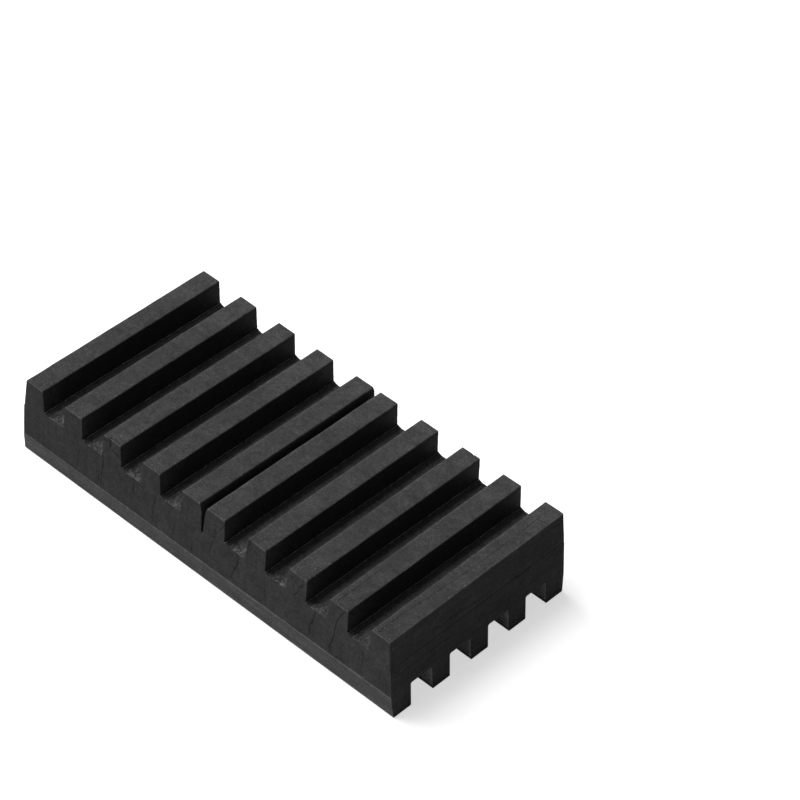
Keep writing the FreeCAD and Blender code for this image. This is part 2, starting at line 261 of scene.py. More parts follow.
class RibFace:
    """The section across the ribs of one face, as (place, depth) points between the outer slits' bottoms.

    It also notes what each stretch between two points is, and each rib's four marks in the list:
    its left root, the two ends of its crest and its right root.
    """

    def __init__(self, cells, rib, creased):
        self.rib = rib
        self.creased = creased
        self.half_mouth = (CELL_PITCH - (RIBS_PER_CELL - 1) * RIB_PITCH - rib["width"]) / 2
        self.apex = self.slit_apex()
        draft = math.atan(rib["lean"])
        reach = math.tan(math.pi / 4 - draft / 2) * math.cos(draft)
        self.root_level = rib["height"] - ROOT_RADIUS * reach
        self.crest_level = CREST_RADIUS * reach
        self.points = []
        self.notes = []
        self.ribs = []
        for cell in range(cells):
            for place in range(RIBS_PER_CELL):
                self.add_rib(rib_centre(cell, cells, place), place)

    def slit_apex(self):
        """How deep the two walls of a slit would meet if its bottom weren't round."""
        depth = SLIT_DEPTH
        for _ in range(GUESSES):
            depth = SLIT_DEPTH - SLIT_RADIUS + SLIT_RADIUS * math.hypot(1, depth / self.half_mouth)
        return depth

    def add(self, points, note):
        for point in points:
            if self.points:
                self.notes.append(note)
            self.points.append(point)

    def wall(self, corner, foot):
        """A rib's wall from its root to the rounding of the crest, at levels that all walls share."""
        points = []
        for step in range(WALL_STEPS):
            depth = self.root_level + (self.crest_level - self.root_level) * step / WALL_STEPS
            points.append(corner.lerp(foot, depth / foot.y))
        return points

    def foot(self, corner, way, slit):
        """Where a wall would meet the bottom of the slit or groove beside it."""
        if slit:
            return Vector((corner.x + way * self.half_mouth, self.apex))
        return Vector((corner.x + way * self.rib["lean"] * self.rib["height"], self.rib["height"]))

    def left_root(self, corner, foot):
        """From the groove floor to the start of a rib's left wall."""
        return fillet(foot, foot - Vector((1, 0)), corner, ROOT_RADIUS, ROOT_STEPS)

    def right_root(self, corner, foot):
        """From the end of a rib's right wall to the groove floor, with what leads to each point."""
        if self.creased:
            return [(foot + Vector((along, -above)), note) for along, above, note in CREASE]
        rounding = fillet(foot, corner, foot + Vector((1, 0)), ROOT_RADIUS, ROOT_STEPS)
        return [(point, "root") for point in rounding[1:]]

    def add_slit_before(self, corner, foot, wall_start):
        """The half slit at a rib's left, from its bottom to the start of the wall."""
        before = Vector((foot.x - self.half_mouth, 0))
        bottom = fillet(foot, before, corner, SLIT_RADIUS, 2 * SLIT_STEPS)[SLIT_STEPS:]
        self.add(bottom[1 if self.points else 0:], "wall")
        self.add(between(bottom[-1], wall_start, SLIT_WALL_STEPS), "wall")

    def add_slit_after(self, corner, foot):
        """The half slit at a rib's right, from the end of the wall to its bottom."""
        after = Vector((foot.x + self.half_mouth, 0))
        bottom = fillet(foot, corner, after, SLIT_RADIUS, 2 * SLIT_STEPS)[:SLIT_STEPS + 1]
        self.add(between(self.points[-1], bottom[0], SLIT_WALL_STEPS), "wall")
        self.add(bottom, "wall")

    def add_groove(self, centre, corner, foot):
        """The groove at a rib's right, from the end of the wall to the next rib's root."""
        for point, note in self.right_root(corner, foot):
            self.add([point], note)
        next_left = Vector((centre + RIB_PITCH - self.rib["width"] / 2, 0))
        next_root = self.left_root(next_left, self.foot(next_left, -1, False))[0]
        self.add(between(self.points[-1], next_root, FLOOR_STEPS), "floor")

    def add_rib(self, centre, place):
        slit_left = place == 0
        slit_right = place == RIBS_PER_CELL - 1
        left = Vector((centre - self.rib["width"] / 2, 0))
        right = Vector((centre + self.rib["width"] / 2, 0))
        left_foot = self.foot(left, -1, slit_left)
        right_foot = self.foot(right, 1, slit_right)
        left_wall = self.wall(left, left_foot)
        if slit_left:
            self.add_slit_before(left, left_foot, left_wall[0])
        else:
            self.add(self.left_root(left, left_foot)[:-1], "root")
        root = len(self.points)
        self.add(left_wall, "wall")
        crest = len(self.points)
        rounding = fillet(left, left_foot, right, CREST_RADIUS, ROUND_STEPS)
        second_rounding = fillet(right, left, right_foot, CREST_RADIUS, ROUND_STEPS)
        self.add(rounding, "crest")
        self.add(between(rounding[-1], second_rounding[0], CREST_STEPS), "crest")
        self.add(second_rounding, "crest")
        crest_end = len(self.points) - 1
        self.add(self.wall(right, right_foot)[::-1], "wall")
        self.ribs.append((root, crest, crest_end, len(self.points) - 1))
        if slit_right:
            self.add_slit_after(right, right_foot)
        else:
            self.add_groove(centre, right, right_foot)


def half_width(x):
    """Where the knife cut the long sides."""
    return NARROW_HALF + (WIDE_HALF - NARROW_HALF) * (x + HALF_LENGTH) / (2 * HALF_LENGTH)


def left_end(z):
    """Where the knife cut the -X end."""
    return -HALF_LENGTH + LEFT_LEAN * z


def right_end(z):
    """Where the knife cut the +X end."""
    return HALF_LENGTH - RIGHT_LEAN * z


def stations(length):
    """Shares of a length at which its cross lines lie, closer together near both ends."""
    inner = length - 2 * END_ZONE[-1]
    count = round(inner / STATION_GAP)
    places = list(END_ZONE)
    places += [END_ZONE[-1] + inner * step / count for step in range(1, count)]
    places += [length - place for place in reversed(END_ZONE)]
    return [place / length for place in places]


# In both clips, beyond tells how far outside the knife's cut a point is.


def clip_start(points, notes, ribs, beyond):
    """Start the section on the knife's cut, without the points before it or too near it."""
    inside = next(index for index, point in enumerate(points) if beyond(point) < -CUT_CLEARANCE)
    dropped = inside - 1
    points, notes = points[dropped:], notes[dropped:]
    ribs = [tuple(mark - dropped for mark in rib) for rib in ribs]
    share = beyond(points[0]) / (beyond(points[0]) - beyond(points[1]))
    return [points[0].lerp(points[1], share)] + points[1:], notes, ribs


def clip_end(points, notes, beyond):
    """End the section on the knife's cut."""
    while beyond(points[-2]) > 0:
        points, notes = points[:-1], notes[:-1]
    share = beyond(points[-1]) / (beyond(points[-1]) - beyond(points[-2]))
    return points[:-1] + [points[-1].lerp(points[-2], share)], notes


def top_sheet():
    """Rows of points along Y, one for each point of the section across the top ribs."""
    face = RibFace(CELLS_LONG, CROSS_RIB, creased=True)
    section = [Vector((point.x + MIDDLE, THICKNESS - point.y)) for point in face.points]
    section, notes, ribs = clip_start(section, face.notes, face.ribs,
                                      lambda point: left_end(point.y) - point.x)
    section, notes = clip_end(section, notes, lambda point: point.x - right_end(point.y))
    first_crest, last_crest = ribs[0][1], ribs[-1][2]
    notes = ["end" if note == "wall" and not first_crest <= index < last_crest else note
             for index, note in enumerate(notes)]
    shares = stations(2 * NARROW_HALF)
    rows = []
    for point in section:
        reach = half_width(point.x)
        rows.append([Vector((point.x, reach * (2 * share - 1), point.y)) for share in shares])
    return rows, notes, ribs


def along_pad(share, z):
    """The place along X at a share of the pad's length at this height."""
    return left_end(z) * (1 - share) + right_end(z) * share


def band_top(share, face):
    """The height at which the band along the foot of a long side meets the cut, and how far out in Y."""
    outer = (RIBS_PER_CELL - 1) * RIB_PITCH / 2 + LONG_RIB["width"] / 2
    height = LONG_RIB["height"]
    for _ in range(GUESSES):
        side = half_width(along_pad(share, height))
        height = (side - outer) * face.apex / face.half_mouth
    return height, side


def bottom_sheet():
    """Rows of points along X, one for each point of the section across the bottom ribs."""
    face = RibFace(CELLS_WIDE, LONG_RIB, creased=False)
    first, last = face.ribs[0][0], face.ribs[-1][3]
    section = face.points[first:last + 1]
    notes = face.notes[first:last]
    ribs = [tuple(mark - first for mark in rib) for rib in face.ribs]
    rows = [[] for _ in section]
    last = len(section) - 1
    for share in stations(2 * HALF_LENGTH):
        ledge, side = band_top(share, face)
        for index, point in enumerate(section):
            from_edge = min(index, last - index)
            y, z = point.x, point.y
            if from_edge < WALL_STEPS:
                rounding = section[WALL_STEPS] if index < WALL_STEPS else section[last - WALL_STEPS]
                mix = from_edge / WALL_STEPS
                z = ledge + (rounding.y - ledge) * mix
                y = math.copysign(side, rounding.x) * (1 - mix) + rounding.x * mix
            rows[index].append(Vector((along_pad(share, z), y, z)))
    return rows, notes, ribs


# What a face can be: cut by the knife along a side or at an end, the moulded band at the foot of a side,
# a crest, groove floor or wall on top, the mould's line at a wall's foot, a wall or crest underneath.
# Anything else is plain moulded rubber.
FACE_NOTES = ("cut", "end", "band", "crest", "floor", "wall", "lip", "inner", "under")

# What the mesh says of each point, from 0 to 1: how near the middle of a mark it is, and how worn a rim,
# which also sets its painted highlight.
POINT_NOTES = ("mark", "rim")


class Mesh:
    """Collects quads and triangles for one bmesh, with the notes on its faces and points."""

    def __init__(self):
        self.bm = bmesh.new()
        self.mark, self.rim = (self.bm.verts.layers.float.new(name) for name in POINT_NOTES)
        self.layers = {name: self.bm.faces.layers.float.new(name) for name in FACE_NOTES}

    def face(self, corners, note):
        face = self.bm.faces.new(corners)
        if note in self.layers:
            face[self.layers[note]] = 1.0

    def rows(self, points):
        return [[self.bm.verts.new(point) for point in row] for row in points]

    def grid(self, vertices, notes):
        for row, following, note in zip(vertices, vertices[1:], notes):
            for a, b, c, d in zip(row, row[1:], following[1:], following):
                self.face((a, b, c, d), note)

    def touches(self, vertex, *notes):
        """Whether any face at this point has one of these notes."""
        return any(face[self.layers[note]] > 0.5 for face in vertex.link_faces for note in notes)

    def zip_rows(self, first, second, note):
        """Triangles between two rows that run side by side with different counts."""
        a, b = 0, 0
        span_a, span_b = len(first) - 1, len(second) - 1
        while a < span_a or b < span_b:
            if b >= span_b or (a < span_a and (a + 1) / span_a <= (b + 1) / span_b):
                self.face((first[a], first[a + 1], second[b]), note)
                a += 1
            else:
                self.face((first[a], second[b + 1], second[b]), note)
                b += 1


def close_side(mesh, border, ribs, far_edge, note):
    """Fill a knife-cut face between the section of the ribs and the straight edge opposite."""
    line = []
    position = 0
    for root, crest, crest_end, end_root in ribs:
        line += border[position:root]
        columns = crest_end - crest
        rows = []
        for step in range(WALL_STEPS):
            left = border[root + step]
            right = border[end_root - step]
            rows.append([left.lerp(right, column / columns) for column in range(columns + 1)])
        rows.append(border[crest:crest_end + 1])
        line += rows[0]
        mesh.grid(mesh.rows(rows), [note] * WALL_STEPS)
        position = end_root + 1
    line += border[position:]
    count = len(line) - 1
    rows = []
    for step in range(1, SIDE_ROWS + 1):
        row = []
        for index, point in enumerate(line):
            foot = far_edge[0].lerp(far_edge[-1], index / count)
            row.append(foot.lerp(point, step / SIDE_ROWS))
        rows.append(row)
    rows = mesh.rows(rows)
    mesh.grid(rows, [note] * SIDE_ROWS)
    mesh.zip_rows(mesh.rows([far_edge])[0], rows[0], note)


def distance_to(line, place):
    """How far a place in a face is from a line drawn on it."""
    if len(line) == 1:
        return math.dist(line[0], place)
    nearest = math.inf
    for start, end in zip(line, line[1:]):
        run = (end[0] - start[0], end[1] - start[1])
        along = (place[0] - start[0]) * run[0] + (place[1] - start[1]) * run[1]
        share = max(0.0, min(1.0, along / (run[0] ** 2 + run[1] ** 2)))
        foot = (start[0] + share * run[0], start[1] + share * run[1])
        nearest = min(nearest, math.dist(foot, place))
    return nearest


def in_box(line, place, reach):
    """Whether a place is anywhere near a line, for a quick first test."""
    return all(min(values) - reach < value < max(values) + reach
               for values, value in zip(zip(*line), place))


def face_place(co):
    """Which outer side a point lies on, and its place in that side, or None for the rest."""
    if co.y < -NARROW_HALF + ON_SIDE:
        return "front", (co.x, co.z)
    if co.y > NARROW_HALF - ON_SIDE:
        return "back", (co.x, co.z)
    if co.x > right_end(co.z) - ON_RIGHT and co.z < THICKNESS - BELOW_CRESTS:
        return "right", (co.y, co.z)
    if co.x < left_end(co.z) + ON_SIDE and co.z < THICKNESS - BELOW_CRESTS:
        return "left", (co.y, co.z)
    if co.z > THICKNESS - ON_SIDE:
        return "top", (co.x, co.y)
    return None, None


# In the noise below, a factor on a place sets how short the lumps are, and a number by itself picks one
# of many patterns.


def mark_depth(co):
    """How deep the marks at this point of an outer side are, and how near their middle it is."""
    side, place = face_place(co)
    deepest = 0.0
    middle = 0.0
    for line, half, depth in MARKS.get(side, ()):
        if in_box(line, place, half):
            share = max(0.0, 1 - distance_to(line, place) / half)
            deepest = max(deepest, depth * share)
            middle = max(middle, share)
    uneven = MARK_SHARE + MARK_SPREAD * noise.noise(co * 1.3)
    return deepest * uneven, min(1.0, middle * uneven)


def near_mark(co):
    """Whether a point is near enough to a mark to need finer faces."""
    side, place = face_place(co)
    return any(in_box(line, place, MARK_REACH) and distance_to(line, place) < MARK_REACH
               for line, _, _ in MARKS.get(side, ()))


def divide_near_marks(bm):
    """Give the surface round each mark enough points to carry it."""
    for _ in range(MARK_PASSES):
        near = {vertex for vertex in bm.verts if near_mark(vertex.co)}
        edges = [edge for edge in bm.edges
                 if near.issuperset(edge.verts) and edge.calc_length() > MARK_GRAIN]
        bmesh.ops.subdivide_edges(bm, edges=edges, cuts=1, use_grid_fill=True)
    many_sided = [face for face in bm.faces if len(face.verts) > 4]
    bmesh.ops.triangulate(bm, faces=many_sided)


# The places of the cross ribs along X.
RIB_CENTRES = [rib_centre(cell, CELLS_LONG, place) + MIDDLE
               for cell in range(CELLS_LONG) for place in range(RIBS_PER_CELL)]


def nearest_rib(x):
    """The number of the cross rib nearest to a place along X."""
    return min(range(len(RIB_CENTRES)), key=lambda index: abs(RIB_CENTRES[index] - x))


def smooth(low, high, value):
    """A soft step from 0 at the low value to 1 at the high one."""
    share = max(0.0, min(1.0, (value - low) / (high - low)))
    return share * share * (3 - 2 * share)


def rib_shift(co):
    """How far a cross rib stands off its place along X, more at its crest than at its root."""
    rise = (co.z - (THICKNESS - CROSS_RIB["height"])) / CROSS_RIB["height"]
    if rise <= 0:
        return 0.0
    rib = nearest_rib(co.x)
    share = (co.y + WIDE_HALF) / (2 * WIDE_HALF)
    wave = LONG_WAVE * noise.noise(Vector((rib * 7.3, co.y * 0.22, 0)))
    wave += SHORT_WAVE * noise.noise(Vector((rib * 3.1, co.y * 1.1, 5)))
    return min(rise, 1) * (FRONT_SHIFT[rib] * (1 - share) + BACK_SHIFT[rib] * share + wave)


def side_sag(co):
    """How far the long sides bow in between the ends, most at the top."""
    bow = max(0.0, 1 - (co.x / SAG_HALF_LENGTH) ** 2)
    rise = smooth(SAG_START, THICKNESS, co.z)
    near = smooth(NARROW_HALF - SAG_REACH, NARROW_HALF, abs(co.y))
    return -math.copysign(SIDE_SAG * bow * rise * near, co.y)


def knife_chatter(across, along, seed):
    """How deep the knife's ripples are in a cut face. They run the way that the knife went."""
    ripple = noise.noise(Vector((across * 0.8, along * 0.12, seed)))
    fine = noise.noise(Vector((across * 2.2, along * 0.7, seed + 9)))
    swell = noise.noise(Vector((across * 0.16, along * 0.2, seed + 4)))
    return CHATTER * (1 + 0.5 * ripple + 0.3 * fine + 0.8 * swell)


def slit_bulge(co):
    """How far the walls of the middle slit bulge towards each other."""
    depth = (THICKNESS - co.z) / SLIT_DEPTH
    if abs(co.x - MIDDLE) > BULGE_ZONE or not 0 < depth < 1:
        return 0.0
    return (MIDDLE - co.x) * SLIT_BULGE * math.sin(math.pi * depth ** BULGE_LIFT)


def torn_floor(co):
    """How rough the groove floors are where the knife tore their front and back ends."""
    near = smooth(NARROW_HALF - TORN_START, NARROW_HALF - TORN_FULL, abs(co.y))
    return TORN_FLOOR * near * noise.noise(Vector((co.x * 2.1, co.y * 0.9, 3)))


def ragged_corner(co):
    """How far the upright corners of the ribs' cut ends stand out or in."""
    return RAGGED_CORNER * noise.noise(Vector((co.x, co.y, co.z * 1.9)))


def crest_dip(co):
    """How far a dip moves a crest along Z. On both faces it goes into the rubber."""
    dip = CREST_SWELL * (1 + noise.noise(Vector((co.x * 0.35, co.y * 0.12, co.z)))) / 2
    return -dip if co.z > THICKNESS / 2 else dip


def inward_move(mesh, vertex, depth):
    """The move of a point into the rubber by a mark of this depth and, on a cut, the knife's ripples."""
    co = vertex.co
    cut, end = mesh.layers["cut"], mesh.layers["end"]
    cut_faces = [face for face in vertex.link_faces if face[cut] + face[end] > 0.5]
    if not cut_faces:
        return -vertex.normal * depth
    normal = sum((face.normal for face in cut_faces), Vector()).normalized()
    seed = 11 if normal.x + normal.y > 0 else 31
    place = (co.x, co.z) if abs(normal.y) > abs(normal.x) else (co.z, co.y)
    return -normal * (knife_chatter(*place, seed) + depth)


def note_rim_wear_and_highlight(mesh, vertex):
    """Note how worn the rubber is where this point lies on a rim, which also sets the painted highlight
    there.
    """
    co = vertex.co
    if mesh.touches(vertex, "cut", "end") and mesh.touches(vertex, "band"):
        vertex[mesh.rim] = CUT_RIM
    if mesh.touches(vertex, "crest") and co.z > THICKNESS - CREST_RADIUS:
        off_middle = co.x - RIB_CENTRES[nearest_rib(co.x)]
        if abs(off_middle) > CROSS_RIB["width"] / 2 - CREST_RADIUS:
            vertex[mesh.rim] = max(vertex[mesh.rim], RIGHT_RIM if off_middle > 0 else LEFT_RIM)
        if co.x > right_end(co.z) - 2 * CREST_RADIUS:
            vertex[mesh.rim] = END_RIM


def weather(mesh):
    """Move the points of the clean shape to where the real rubber has them."""
    moves = []
    for vertex in mesh.bm.verts:
        co = vertex.co
        move = Vector((rib_shift(co) + slit_bulge(co), side_sag(co), 0))
        depth, vertex[mesh.mark] = mark_depth(co)
        note_rim_wear_and_highlight(mesh, vertex)
        if mesh.touches(vertex, "cut", "end") and mesh.touches(vertex, "wall"):
            move.x += ragged_corner(co)
        if mesh.touches(vertex, "crest", "under"):
            move.z += crest_dip(co)
        if all(face[mesh.layers["floor"]] > 0.5 for face in vertex.link_faces):
            move.z += torn_floor(co)
        moves.append(move + inward_move(mesh, vertex, depth))
    for vertex, move in zip(mesh.bm.verts, moves):
        vertex.co += move


def bevel_edges(mesh):
    """A slight bevel along the sharp edges that have room for it, worn and given a painted highlight
    where it is near the top.
    """
    bm = mesh.bm
    sharp = {edge for edge in bm.edges if edge.calc_face_angle() > SHARP_ANGLE}
    crowded = {vertex for edge in bm.edges if edge not in sharp and edge.calc_length() < BEVEL_ROOM
               for vertex in edge.verts}
    roomy = [edge for edge in bm.edges if edge in sharp and not crowded.intersection(edge.verts)]
    bevelled = bmesh.ops.bevel(bm, geom=roomy, offset=EDGE_BEVEL, offset_type="OFFSET", segments=2,
                               profile=0.5, affect="EDGES")
    for face in bevelled["faces"]:
        for vertex in face.verts:
            if vertex.co.z > THICKNESS - WORN_AND_HIGHLIGHT_DEPTH:
                vertex[mesh.rim] = CUT_RIM


def bottom_note(note, from_side):
    """What a stretch of the section across the bottom ribs is called underneath."""
    if from_side < WALL_STEPS:
        return "band"
    return {"crest": "under", "wall": "inner"}.get(note)


def build_surface():
    """The whole pad in metres: both ribbed faces, the four cut sides, then bevels and wear."""
    mesh = Mesh()
    top, top_notes, top_ribs = top_sheet()
    bottom, bottom_notes, bottom_ribs = bottom_sheet()
    last = len(bottom_notes) - 1
    mesh.grid(mesh.rows(top), top_notes)
    mesh.grid(mesh.rows(bottom), [bottom_note(note, min(row, last - row))
                                  for row, note in enumerate(bottom_notes)])
    close_side(mesh, [row[0] for row in top], top_ribs, bottom[0], "cut")
    close_side(mesh, [row[-1] for row in top], top_ribs, bottom[-1], "cut")
    close_side(mesh, [row[0] for row in bottom], bottom_ribs, top[0], "end")
    close_side(mesh, [row[-1] for row in bottom], bottom_ribs, top[-1], "end")
    bm = mesh.bm
    bmesh.ops.remove_doubles(bm, verts=bm.verts, dist=WELD)
    divide_near_marks(bm)
    bmesh.ops.recalc_face_normals(bm, faces=bm.faces)
    bevel_edges(mesh)
    bm.normal_update()
    weather(mesh)
    bm.transform(Matrix.Scale(MM, 4))
    return bm


def make_pad(material):
    data = bpy.data.meshes.new("pad_rubber")
    bm = build_surface()
    bm.to_mesh(data)
    bm.free()
    for polygon in data.polygons:
        polygon.use_smooth = True
    data.set_sharp_from_angle(angle=math.radians(SHADED_SHARP))
    data.materials.append(material)
    pad = bpy.data.objects.new("pad_rubber", data)
    bpy.context.scene.collection.objects.link(pad)
    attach(pad, "root")
    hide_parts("pad")


# How light the rubber is. A pair goes from the first value to the second: a crest towards the back, a
# groove floor towards its torn ends, a wall underneath towards its opening at +X, a side and its band
# towards +X, and an end towards the floor. Several of these hold painted light and shade, as said above
# each.
MOULDED_TONE = 0.060
CREST_TONES = (0.048, 0.060)
# Painted light and shade: a groove floor is painted lighter along its middle, where the ribs shade it,
# and darker towards its torn ends, where more light gets in.
FLOOR_PAINTED_LIGHT_TONES = (0.080, 0.044)
# Painted shade: the walls of the top grooves and slits are darkened for the shade that falls between the
# ribs.
WALL_PAINTED_SHADE_TONE = 0.030
# Painted highlight: the mould's fine line at a wall's foot is painted pale, as a line catching the light.
LIP_PAINTED_HIGHLIGHT_TONE = 0.26
# Painted light: the walls underneath are painted lighter towards their opening at +X, for the light that
# reaches in there.
INNER_PAINTED_LIGHT_TONES = (0.055, 0.28)
# Painted shade: the crests underneath are darkened where they rest on the floor.
UNDER_PAINTED_SHADE_TONE = 0.030
# Painted light: a side is painted lighter towards +X, for more light falling there.
SIDE_TONES = (0.032, 0.039)
# Painted light: an end is painted lighter towards the floor, for the light that the floor throws up onto
# it.
END_TONES = (0.038, 0.056)
# Painted light: a band is painted lighter towards +X, for more light falling there.
BAND_TONES = (0.052, 0.066)

# How much of the tone is left in the middle of a mark, and what dust, scuffs and worn rims add; on the
# rims it is a painted highlight.
# Painted shade: a mark is darkened towards its middle, for the shade inside the cut.
MARK_PAINTED_SHADE = 0.25
DUST_TONE = 0.10
SCUFF_TONE = 0.10
RIM_HIGHLIGHT_TONE = 0.08

# Where the looks change, in millimetres along an axis or from the middle: from none of it to all of it.
FRONT_DUST = (-14, -24)
SIDE_DUST = (22.6, 24.4)
TORN_ENDS = (20.0, 23.8)
TOWARDS_BACK = (6, 24)
TOWARDS_RIGHT = (-50, 50)
OPENING = (39, 46)
TOWARDS_FLOOR = (9, 0)

# How rough the rubber is, what dust adds, and how little it shines.
MOULDED_ROUGHNESS = 0.60
SIDE_ROUGHNESS = 0.70
END_ROUGHNESS = 0.85
BAND_ROUGHNESS = 0.52
WALL_ROUGHNESS = 0.66
DUST_ROUGHNESS = 0.2
SHINE = 0.05

# How deep the ripples of the cut faces, the flow lines of the bands and the grain are as bumps.
RIPPLE_BUMP = 0.06
FLOW_BUMP = 0.04
GRAIN_BUMP = 0.06

# The noise patterns of the rubber, with the size of their lumps. A squeeze below 1 draws them out.
# Blotches, clouds and grain are all over, specks and patches are dust, flecks, streaks and lines are the
# knife's, flow is on the ends and bands, and scratches are on the torn floors.
PATTERNS = {
    "blotch": {"size": 3.4, "detail": 4, "distortion": 0.6, "rough": 0.6},
    "cloud": {"size": 1.1, "detail": 4, "rough": 0.6},
    "grain": {"size": 0.42, "detail": 3, "rough": 0.75},
    "speck": {"size": 0.30, "detail": 3, "rough": 0.75},
    "fleck": {"size": 0.8, "detail": 5, "rough": 0.7},
    "patch": {"size": 3.6, "detail": 3},
    "streak": {"size": 1.4, "detail": 4, "squeeze": (1, 1, 0.12), "distortion": 0.3},
    "line": {"size": 0.7, "detail": 2, "squeeze": (1, 1, 0.09), "distortion": 0.8},
    "flow": {"size": 0.9, "detail": 3, "squeeze": (0.03, 0.03, 1)},
    "scratch": {"size": 0.42, "detail": 3, "squeeze": (1, 0.4, 1), "distortion": 1.0},
}


class Shade:
    """Short names for the nodes of a material. Lengths are in millimetres."""

    def __init__(self, tree):
        self.tree = tree
        place = self.node("ShaderNodeTexCoord").outputs["Object"]
        self.place = self.scaled(place, (1 / MM, 1 / MM, 1 / MM))

    def node(self, kind, **settings):
        node = self.tree.nodes.new(kind)
        for name, value in settings.items():
            setattr(node, name, value)
        return node

    def feed(self, socket, value):
        if isinstance(value, bpy.types.NodeSocket):
            self.tree.links.new(value, socket)
        else:
            socket.default_value = value

    def scaled(self, vector, factors):
        node = self.node("ShaderNodeVectorMath", operation="MULTIPLY")
        self.feed(node.inputs[0], vector)
        node.inputs[1].default_value = factors
        return node.outputs[0]

    def along(self, axis):
        node = self.node("ShaderNodeSeparateXYZ")
        self.feed(node.inputs[0], self.place)
        return node.outputs[axis]

    def noted(self, name):
        """The value that the mesh carries under this name."""
        return self.node("ShaderNodeAttribute", attribute_name=name).outputs["Fac"]

    def math(self, operation, first, second=0.0):
        node = self.node("ShaderNodeMath", operation=operation)
        self.feed(node.inputs[0], first)
        self.feed(node.inputs[1], second)
        return node.outputs[0]

    def noise(self, size, detail=2.0, squeeze=(1, 1, 1), distortion=0.0, rough=0.5):
        """Cloudy noise about 0.5 whose lumps have this size."""
        node = self.node("ShaderNodeTexNoise")
        self.feed(node.inputs["Vector"], self.scaled(self.place, squeeze))
        node.inputs["Scale"].default_value = 1 / size
        node.inputs["Detail"].default_value = detail
        node.inputs["Roughness"].default_value = rough
        node.inputs["Distortion"].default_value = distortion
        return node.outputs["Fac"]

    def span(self, value, low, high, to_low=0.0, to_high=1.0):
        """Map one range softly to another and hold it there."""
        node = self.node("ShaderNodeMapRange", interpolation_type="SMOOTHSTEP")
        self.feed(node.inputs["Value"], value)
        node.inputs["From Min"].default_value = low
        node.inputs["From Max"].default_value = high
        node.inputs["To Min"].default_value = to_low
        node.inputs["To Max"].default_value = to_high
        return node.outputs["Result"]

    def mix(self, share, first, second):
        """A number between two others."""
        node = self.node("ShaderNodeMix", data_type="FLOAT")
        self.feed(node.inputs[0], share)
        self.feed(node.inputs[2], first)
        self.feed(node.inputs[3], second)
        return node.outputs[0]

    def product(self, *values):
        result = values[0]
        for value in values[1:]:
            result = self.math("MULTIPLY", result, value)
        return result

    def total(self, *values):
        result = values[0]
        for value in values[1:]:
            result = self.math("ADD", result, value)
        return result

    def bump(self, height, distance, below=None):
        node = self.node("ShaderNodeBump")
        node.inputs["Distance"].default_value = distance * MM
        self.feed(node.inputs["Height"], height)
        if below is not None:
            self.feed(node.inputs["Normal"], below)
        return node.outputs["Normal"]


